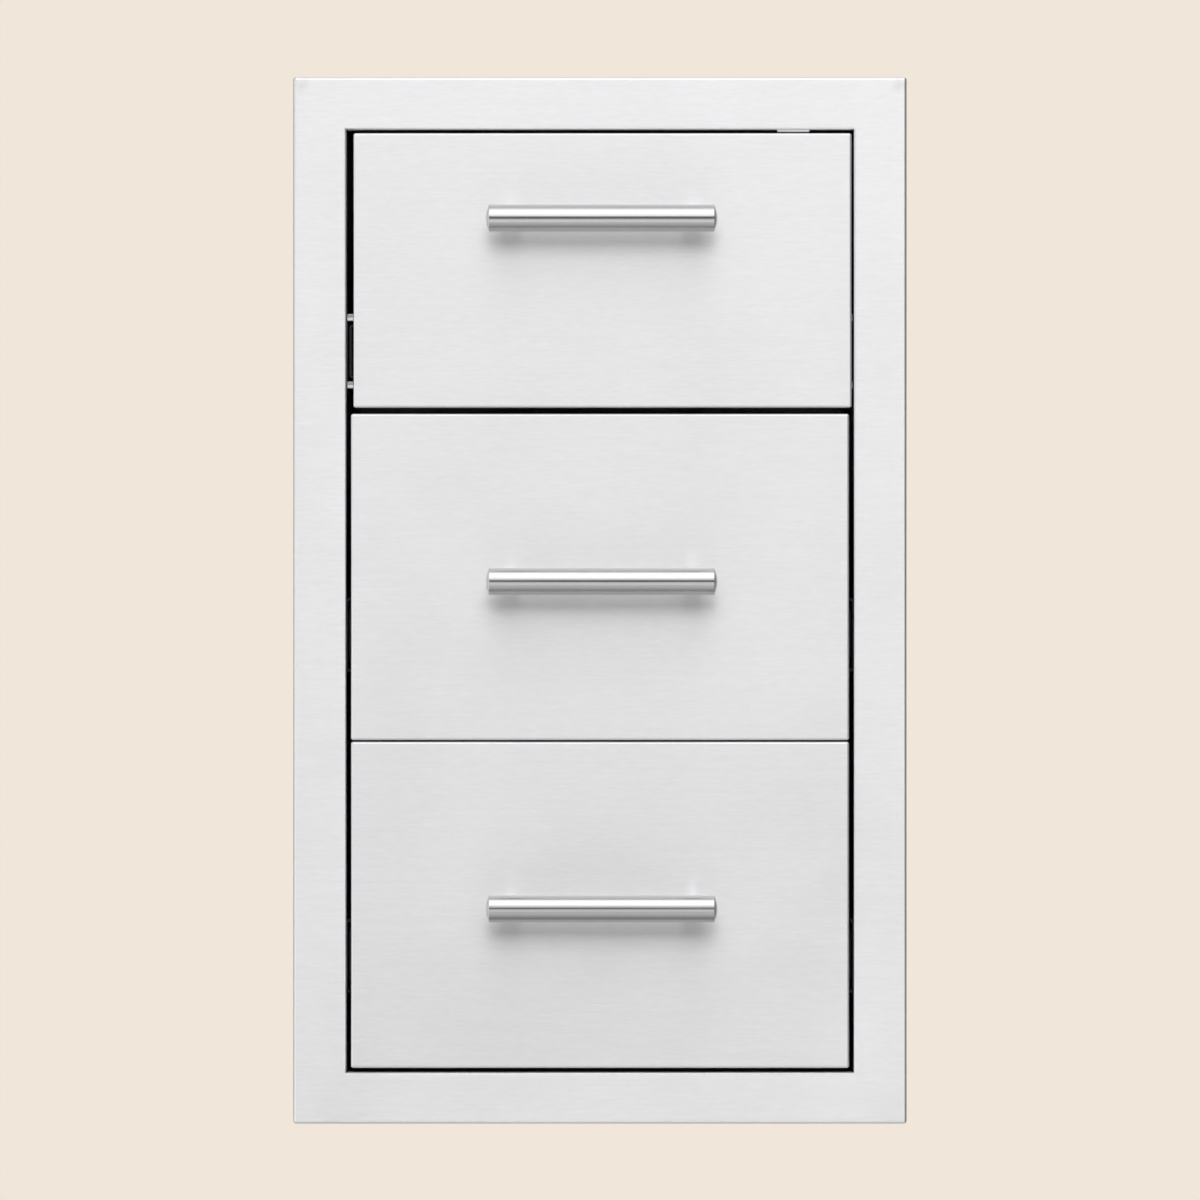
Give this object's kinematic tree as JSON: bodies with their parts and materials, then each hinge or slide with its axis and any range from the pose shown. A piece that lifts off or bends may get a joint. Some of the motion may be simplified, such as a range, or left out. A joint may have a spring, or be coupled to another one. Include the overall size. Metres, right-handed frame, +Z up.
{
  "type": "outdoor kitchen drawer unit",
  "caption": "Flush built-in stainless steel drawer unit: face frame, closed cabinet and drawers of two heights with round bar handles on full-extension ball-bearing runners.",
  "frame": {"origin": "middle of the cabinet's underside, in the plane of the wall face that the frame's back lip seats on", "axes": "+Z up, +Y into the cut-out, the drawer fronts face -Y, +X to the right seen from the front"},
  "size_m": [0.4318, 0.5579, 0.7366],
  "materials": {
    "front_steel": "fine horizontal brushing, satin",
    "handle_steel": "fine turned satin along the bar",
    "cabinet_steel": "plain mill sheet, satin",
    "runner_steel": "bright zinc plate",
    "cage_steel": "bright pressed strip and polished balls"
  },
  "bodies": {
    "cabinet": {"bottom_cabinet_member_left": "runner_steel", "bottom_cabinet_member_right": "runner_steel", "cabinet_back": "cabinet_steel", "cabinet_bottom": "cabinet_steel", "cabinet_side_left": "cabinet_steel", "cabinet_side_right": "cabinet_steel", "cabinet_top": "cabinet_steel", "face_frame": "front_steel", "frame_clip": "front_steel", "middle_cabinet_member_left": "runner_steel", "middle_cabinet_member_right": "runner_steel", "top_cabinet_member_left": "runner_steel", "top_cabinet_member_right": "runner_steel"},
    "top_drawer": {"top_drawer_back_wall": "cabinet_steel", "top_drawer_box": "cabinet_steel", "top_drawer_front_wall": "cabinet_steel", "top_drawer_member_left": "runner_steel", "top_drawer_member_right": "runner_steel", "top_front_liner": "front_steel", "top_front_skin": "front_steel", "top_handle_bar": "handle_steel", "top_handle_posts": "handle_steel"},
    "top_intermediate_left": {"top_intermediate_member_left": "runner_steel"},
    "top_intermediate_right": {"top_intermediate_member_right": "runner_steel"},
    "top_outer_cages": {"top_outer_ball_cages": "cage_steel"},
    "top_inner_cages": {"top_inner_ball_cages": "cage_steel"},
    "middle_drawer": {"middle_drawer_back_wall": "cabinet_steel", "middle_drawer_box": "cabinet_steel", "middle_drawer_front_wall": "cabinet_steel", "middle_drawer_member_left": "runner_steel", "middle_drawer_member_right": "runner_steel", "middle_front_liner": "front_steel", "middle_front_skin": "front_steel", "middle_handle_bar": "handle_steel", "middle_handle_posts": "handle_steel"},
    "middle_intermediate_left": {"middle_intermediate_member_left": "runner_steel"},
    "middle_intermediate_right": {"middle_intermediate_member_right": "runner_steel"},
    "middle_outer_cages": {"middle_outer_ball_cages": "cage_steel"},
    "middle_inner_cages": {"middle_inner_ball_cages": "cage_steel"},
    "bottom_drawer": {"bottom_drawer_back_wall": "cabinet_steel", "bottom_drawer_box": "cabinet_steel", "bottom_drawer_front_wall": "cabinet_steel", "bottom_drawer_member_left": "runner_steel", "bottom_drawer_member_right": "runner_steel", "bottom_front_liner": "front_steel", "bottom_front_skin": "front_steel", "bottom_handle_bar": "handle_steel", "bottom_handle_posts": "handle_steel"},
    "bottom_intermediate_left": {"bottom_intermediate_member_left": "runner_steel"},
    "bottom_intermediate_right": {"bottom_intermediate_member_right": "runner_steel"},
    "bottom_outer_cages": {"bottom_outer_ball_cages": "cage_steel"},
    "bottom_inner_cages": {"bottom_inner_ball_cages": "cage_steel"}
  },
  "joints": [
    {"name": "top_drawer_slide", "type": "slide", "parent": "cabinet", "child": "top_drawer", "axis": [0, -1, 0], "range_m": [0, 0.45]},
    {"name": "top_intermediate_left_slide", "type": "slide", "parent": "cabinet", "child": "top_intermediate_left", "axis": [0, -1, 0], "range_m": [0, 0.225]},
    {"name": "top_intermediate_right_slide", "type": "slide", "parent": "cabinet", "child": "top_intermediate_right", "axis": [0, -1, 0], "range_m": [0, 0.225]},
    {"name": "top_outer_cages_slide", "type": "slide", "parent": "cabinet", "child": "top_outer_cages", "axis": [0, -1, 0], "range_m": [0, 0.1125]},
    {"name": "top_inner_cages_slide", "type": "slide", "parent": "cabinet", "child": "top_inner_cages", "axis": [0, -1, 0], "range_m": [0, 0.3375]},
    {"name": "middle_drawer_slide", "type": "slide", "parent": "cabinet", "child": "middle_drawer", "axis": [0, -1, 0], "range_m": [0, 0.45]},
    {"name": "middle_intermediate_left_slide", "type": "slide", "parent": "cabinet", "child": "middle_intermediate_left", "axis": [0, -1, 0], "range_m": [0, 0.225]},
    {"name": "middle_intermediate_right_slide", "type": "slide", "parent": "cabinet", "child": "middle_intermediate_right", "axis": [0, -1, 0], "range_m": [0, 0.225]},
    {"name": "middle_outer_cages_slide", "type": "slide", "parent": "cabinet", "child": "middle_outer_cages", "axis": [0, -1, 0], "range_m": [0, 0.1125]},
    {"name": "middle_inner_cages_slide", "type": "slide", "parent": "cabinet", "child": "middle_inner_cages", "axis": [0, -1, 0], "range_m": [0, 0.3375]},
    {"name": "bottom_drawer_slide", "type": "slide", "parent": "cabinet", "child": "bottom_drawer", "axis": [0, -1, 0], "range_m": [0, 0.45]},
    {"name": "bottom_intermediate_left_slide", "type": "slide", "parent": "cabinet", "child": "bottom_intermediate_left", "axis": [0, -1, 0], "range_m": [0, 0.225]},
    {"name": "bottom_intermediate_right_slide", "type": "slide", "parent": "cabinet", "child": "bottom_intermediate_right", "axis": [0, -1, 0], "range_m": [0, 0.225]},
    {"name": "bottom_outer_cages_slide", "type": "slide", "parent": "cabinet", "child": "bottom_outer_cages", "axis": [0, -1, 0], "range_m": [0, 0.1125]},
    {"name": "bottom_inner_cages_slide", "type": "slide", "parent": "cabinet", "child": "bottom_inner_cages", "axis": [0, -1, 0], "range_m": [0, 0.3375]}
  ],
  "couplings": [
    {"joint": "top_intermediate_left_slide", "follows": "top_drawer_slide", "ratio": 0.5},
    {"joint": "top_intermediate_right_slide", "follows": "top_drawer_slide", "ratio": 0.5},
    {"joint": "top_outer_cages_slide", "follows": "top_drawer_slide", "ratio": 0.25},
    {"joint": "top_inner_cages_slide", "follows": "top_drawer_slide", "ratio": 0.75},
    {"joint": "middle_intermediate_left_slide", "follows": "middle_drawer_slide", "ratio": 0.5},
    {"joint": "middle_intermediate_right_slide", "follows": "middle_drawer_slide", "ratio": 0.5},
    {"joint": "middle_outer_cages_slide", "follows": "middle_drawer_slide", "ratio": 0.25},
    {"joint": "middle_inner_cages_slide", "follows": "middle_drawer_slide", "ratio": 0.75},
    {"joint": "bottom_intermediate_left_slide", "follows": "bottom_drawer_slide", "ratio": 0.5},
    {"joint": "bottom_intermediate_right_slide", "follows": "bottom_drawer_slide", "ratio": 0.5},
    {"joint": "bottom_outer_cages_slide", "follows": "bottom_drawer_slide", "ratio": 0.25},
    {"joint": "bottom_inner_cages_slide", "follows": "bottom_drawer_slide", "ratio": 0.75}
  ]
}
